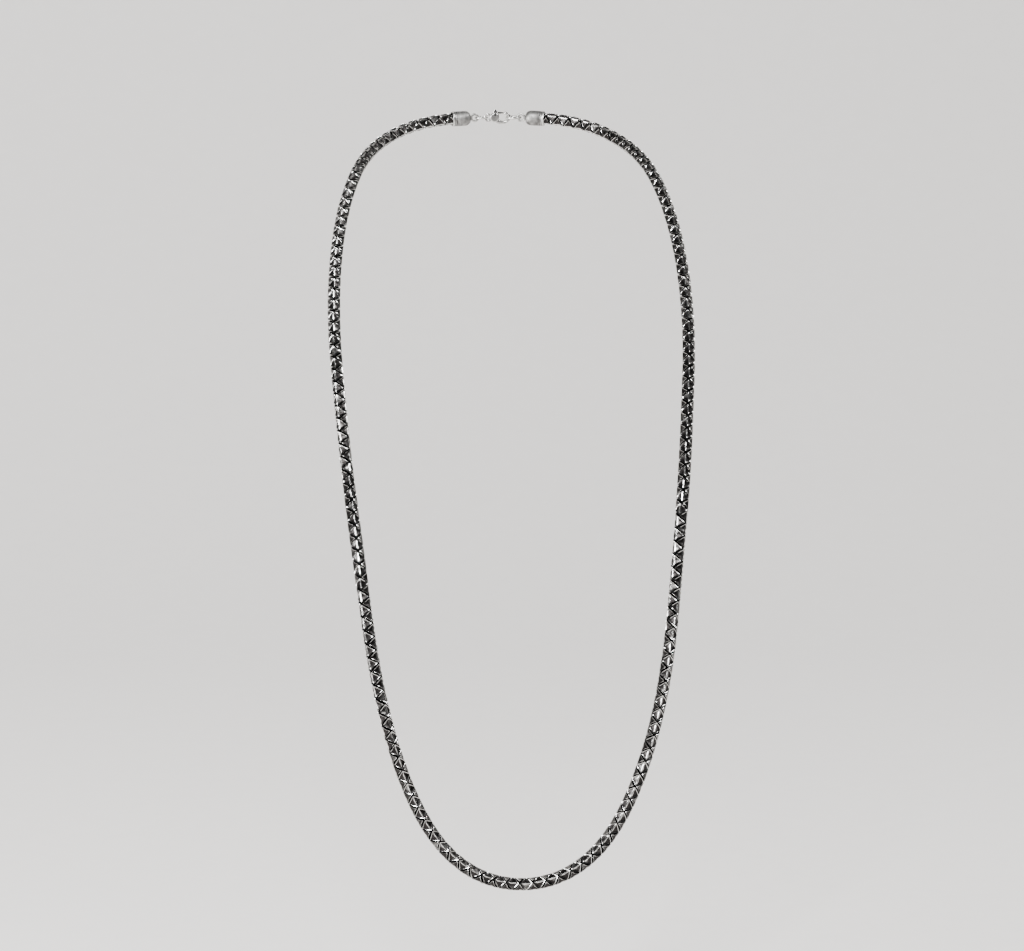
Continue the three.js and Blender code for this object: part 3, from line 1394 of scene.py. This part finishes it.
@dataclass
class LobsterClasp:
    """The lobster clasp: claw, lever, rivet and leaf spring.

    It is made with the hole of its base eye at the origin, its length along X and its gate up.
    """

    eye_mm: float = 1.45
    eye_wire_mm: float = 0.5
    claw_centre_mm: float = 6.3
    claw_length_mm: float = 4.0
    claw_height_mm: float = 2.9
    claw_depth_mm: float = 0.9
    throat_centre_mm: float = 6.8
    throat_length_mm: float = 2.2
    throat_height_mm: float = 1.5
    tip_degrees: float = 436.0
    root_degrees: float = 128.0
    cheek_centre_mm: float = 3.0
    cheek_mm: float = 2.1
    cheek_depth_mm: float = 1.35
    slot_mm: float = 1.2
    slot_start_mm: float = 1.8
    slot_floor_mm: float = -0.4
    gate_end_mm: float = 7.3
    pivot_mm: tuple[float, float] = (3.2, 1.2)
    pin_mm: float = 0.38
    lever_mm: float = 0.8
    leaf_mm: float = 1.5
    cast_cell_mm: float = 0.09
    edge_mm: float = 0.5
    base_eye_depth_mm: float = 0.56
    origin: Points = field(init=False)

    def __post_init__(self) -> None:
        """Finds the hole of the base eye, from the lever's joint."""
        pivot = np.array(joint_of("lever")["pos_m"])
        self.origin = pivot - MM * np.array([self.pivot_mm[0], 0.0, self.pivot_mm[1]])

    def hook(self) -> bpy.types.Object:
        """Builds the hook, from its root between the cheeks round to its tip.

        Returns:
            A rod between the outer outline and the throat.
        """
        turns = np.radians(np.linspace(self.root_degrees, self.tip_degrees, 90))
        line, widths, depths = [], [], []
        for turn in turns:
            c, s = math.cos(turn), math.sin(turn)
            far = self.claw_centre_mm + self.claw_length_mm * c
            near = self.throat_centre_mm + self.throat_length_mm * c
            outer = np.array([far, 0, self.claw_height_mm * s])
            inner = np.array([near, 0, self.throat_height_mm * s])
            line.append((outer + inner) / 2)
            widths.append(np.linalg.norm(outer - inner) / 2)
            depths.append(self.claw_depth_mm)
        for back, share in ((1, 0.45), (2, 0.78), (3, 0.94)):
            widths[-back] *= share
            depths[-back] *= share
        return rounded_rod("hook", np.array(line), widths, depths, 0.72, 32)

    def cheeks(self) -> bpy.types.Object:
        """Builds the round boss that the slot later parts into two cheeks.

        Returns:
            A disc with rounded edges.
        """
        depth, radius, edge = self.cheek_depth_mm, self.cheek_mm, self.edge_mm
        reach = radius - edge
        outline = [(0.001, -depth)]
        outline += arc((reach, edge - depth), edge, -math.pi / 2, 0.0, 8)
        outline += arc((reach, depth - edge), edge, 0.0, math.pi / 2, 8)
        outline.append((0.001, depth))
        disc = turned("cheeks", outline, 64)
        for vertex in disc.data.vertices:
            vertex.co.x += self.cheek_centre_mm
        return disc

    def base_eye(self) -> bpy.types.Object:
        """Builds the eye at the claw's base.

        Returns:
            A thick ring whose hole runs along Y.
        """
        outline = []
        for angle in np.linspace(0, math.tau, 20, endpoint=False):
            reach = self.eye_mm + self.eye_wire_mm * math.cos(angle)
            outline.append((reach, self.base_eye_depth_mm * math.sin(angle)))
        return turned("base_eye", outline, 48)

    def claw(self) -> bpy.types.Object:
        """Builds the claw, cast in one piece and then slotted.

        Returns:
            The claw, in millimetres.
        """
        whole = joined("clasp_claw_cast", [self.hook(), self.cheeks(), self.base_eye()])
        cast_together(whole, self.cast_cell_mm, 3)
        start, end = self.slot_start_mm, self.gate_end_mm
        floor, top = self.slot_floor_mm, self.claw_height_mm * 2
        slot = plate("slot", [(start, floor), (end, floor), (end, top), (start, top)], self.slot_mm)
        cut(whole, slot)
        return whole

    def lever_outline(self) -> Outline:
        """Draws the lever from its heel, along its underside to the tip and back over the nub.

        Returns:
            Points of X and Z.
        """
        x, z = self.pivot_mm
        tip = self.gate_end_mm - 0.15
        return [
            (x - 0.7, z - 0.4),
            (x - 0.35, z - 0.75),
            (x + 0.75, z - 0.75),
            (x + 1.6, z + 0.15),
            (x + 2.8, z + 0.35),
            (tip, z + 0.35),
            (tip, z + 1.15),
            (x + 2.4, z + 1.32),
            (x + 0.95, z + 1.45),
            (x + 0.65, z + 2.0),
            (x + 0.45, z + 2.4),
            (x, z + 2.48),
            (x - 0.4, z + 2.35),
            (x - 0.6, z + 1.6),
            (x - 0.75, z + 0.5),
        ]

    def lever(self) -> bpy.types.Object:
        """Builds the lever.

        Returns:
            The lever, in millimetres.
        """
        whole = plate("clasp_lever_arm", self.lever_outline(), self.lever_mm)
        bevel = whole.modifiers.new("edges", "BEVEL")
        bevel.width = 0.13
        bevel.segments = 3
        bevel.limit_method = "ANGLE"
        bevel.angle_limit = math.radians(25)
        apply_modifiers(whole)
        return whole

    def rivet(self) -> bpy.types.Object:
        """Builds the rivet that the lever turns on, with a low dome on each head.

        Returns:
            The rivet, in millimetres.
        """
        depth, shank, head = self.cheek_depth_mm, self.pin_mm, self.pin_mm * 1.5
        outline = [(0.001, -depth - 0.08)]
        for share in (0.5, 0.85, 1.0):
            outline.append((head * share, -depth - 0.08 * (1 - share**2)))
        outline += [(head, -depth + 0.06), (shank, -depth + 0.1), (shank, depth - 0.1)]
        outline.append((head, depth - 0.06))
        for share in (1.0, 0.85, 0.5):
            outline.append((head * share, depth + 0.08 * (1 - share**2)))
        outline.append((0.001, depth + 0.08))
        pin = turned("lever_rivet", outline, 32)
        for vertex in pin.data.vertices:
            vertex.co.x += self.pivot_mm[0]
            vertex.co.z += self.pivot_mm[1]
        return pin

    def leaf(self) -> bpy.types.Object:
        """Builds the leaf spring, bent back over itself in the slot.

        Returns:
            The spring, in millimetres.
        """
        start, floor = self.slot_start_mm + 0.3, self.slot_floor_mm + 0.22
        bend = 0.12
        line = [(start + self.leaf_mm * step / 6, floor) for step in range(6)]
        line += arc((start + self.leaf_mm, floor + bend), bend, -math.pi / 2, math.pi / 2, 8)
        for step in range(1, 7):
            line.append((start + self.leaf_mm - 1.2 * step / 6, floor + 2 * bend + 0.18 * step / 6))
        path = np.array([(x, 0.0, z) for x, z in line])
        count = len(path)
        return rounded_rod("leaf_spring", path, [0.055] * count, [0.36] * count, 0.4, 20)

    def build(self, polished: bpy.types.Material, steel: bpy.types.Material) -> None:
        """Builds the clasp in its place.

        Args:
            polished: The material of the claw and the lever.
            steel: The material of the rivet and the spring.
        """
        rows = (
            (self.claw(), polished, Slot.POLISHED, "clasp_claw", "clasp"),
            (self.lever(), polished, Slot.POLISHED, "clasp_lever", "lever"),
            (self.rivet(), steel, Slot.STEEL, "lever_pin", "clasp"),
            (self.leaf(), steel, Slot.STEEL, "lever_spring", "clasp"),
        )
        for whole, material, slot, node, body in rows:
            mark_wear(whole, 0.3)
            settle(whole, self.origin, np.eye(3), 40)
            finish_piece(whole, material, [node])
            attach(whole, body)
            log.info("%s: %d faces", whole.name, len(whole.data.polygons))


# ---- Studio ----


@dataclass
class Softbox:
    """A square lamp that looks at the necklace."""

    name: str
    place: Triple
    width: float
    watts: float

    def build(self, target: Points) -> None:
        """Adds the lamp.

        Args:
            target: The point that it looks at.
        """
        light = bpy.data.lights.new(self.name, "AREA")
        light.shape = "SQUARE"
        light.size = self.width
        light.energy = self.watts
        lamp = placed(self.name, light)
        lamp.location = self.place
        aim_at(lamp, target)


def aim_at(thing: bpy.types.Object, target: Points) -> None:
    """Turns a lamp or a camera towards a point.

    Args:
        thing: The lamp or camera, at its place.
        target: The point.
    """
    away = thing.location.copy()
    away.x -= float(target[0])
    away.y -= float(target[1])
    away.z -= float(target[2])
    thing.rotation_euler = away.to_track_quat("Z", "Y").to_euler()


@dataclass
class Studio:
    """A pale floor that sweeps up behind the necklace, soft lamps and the camera."""

    drop: float = 0.05
    depth: float = 1.6
    width: float = 4.0
    sweep: float = 1.1
    height: float = 2.4
    elevation_degrees: float = 10.0
    azimuth_degrees: float = -3.0
    distance: float = 2.1
    lens_mm: float = 171.5
    target: Triple = (0.0, -0.121, -0.142)
    softboxes: tuple[Softbox, ...] = (
        Softbox("front", (-0.3, -1.3, 1.1), 0.55, 40.0),
        Softbox("left", (-1.6, -1.1, 0.35), 1.1, 85.0),
        Softbox("right", (1.15, -0.3, 1.2), 0.5, 24.0),
    )

    def floor(self) -> None:
        """Builds the floor and its rise behind the necklace."""
        level = CAD_LOW.z - self.drop
        foot = (self.depth - self.sweep, level + self.sweep)
        line = [(-self.depth, level), *arc(foot, self.sweep, -math.pi / 2, 0.0, 16)]
        line.append((self.depth, level + self.height))
        points = [(x, y, z) for y, z in line for x in (-self.width, self.width)]
        faces = [(2 * i, 2 * i + 1, 2 * i + 3, 2 * i + 2) for i in range(len(line) - 1)]
        mesh = bpy.data.meshes.new("floor")
        mesh.from_pydata(points, [], faces)
        mesh.shade_smooth()
        sheet = placed("floor", mesh)
        sheet.data.materials.append(StudioPaper().material("studio_paper"))

    def camera(self) -> None:
        """Adds the camera."""
        elevation = math.radians(self.elevation_degrees)
        azimuth = math.radians(self.azimuth_degrees)
        level = math.cos(elevation)
        back = np.array(
            [math.sin(azimuth) * level, -math.cos(azimuth) * level, math.sin(elevation)]
        )
        data = bpy.data.cameras.new("camera")
        data.lens = self.lens_mm
        data.sensor_width = 36.0
        data.clip_start = 0.05
        data.clip_end = 50.0
        camera = placed("camera", data)
        camera.location = np.array(self.target) + back * self.distance
        aim_at(camera, np.array(self.target))
        bpy.context.scene.camera = camera

    def air(self) -> None:
        """Sets the dim, even light round the studio."""
        world = bpy.data.worlds.new("studio_air")
        world.use_nodes = True
        shader = world.node_tree.nodes["Background"]
        shader.inputs["Color"].default_value = (0.93, 0.95, 1.0, 1.0)
        shader.inputs["Strength"].default_value = 0.03
        bpy.context.scene.world = world

    def build(self) -> None:
        """Builds the whole studio."""
        self.floor()
        self.camera()
        self.air()
        for softbox in self.softboxes:
            softbox.build(np.array(self.target))


def main() -> None:
    """Builds the necklace and its studio."""
    logging.basicConfig(level=logging.INFO, format="%(name)s: %(message)s")
    chain_silver = OxidisedSilver().material("oxidised_silver")
    cast_silver = WorkedMetal(bare_from=0.5, bare_to=1.2, roughness=0.26).material("cast_silver")
    polished_silver = WorkedMetal(roughness=0.14, bump=0.1).material("polished_silver")
    wire_silver = WorkedMetal(roughness=0.2, grain_shares=(1.0, 1.0, 0.1)).material("wire_silver")
    steel = WorkedMetal(bright=(0.66, 0.67, 0.7), roughness=0.22).material("spring_steel")

    Studio().build()
    chain = Chain()
    chain.build(chain_silver)
    for side in Side:
        EndCap(side).build(cast_silver, chain.route)
    WireRing("jump_ring", wire_mm=0.45, cut_mm=0.05, cut_degrees=60.0).build(wire_silver)
    WireRing("catch_ring", wire_mm=0.55, cut_mm=0.03, cut_degrees=-60.0).build(wire_silver)
    LobsterClasp().build(polished_silver, steel)


if __name__ == "__main__":
    main()
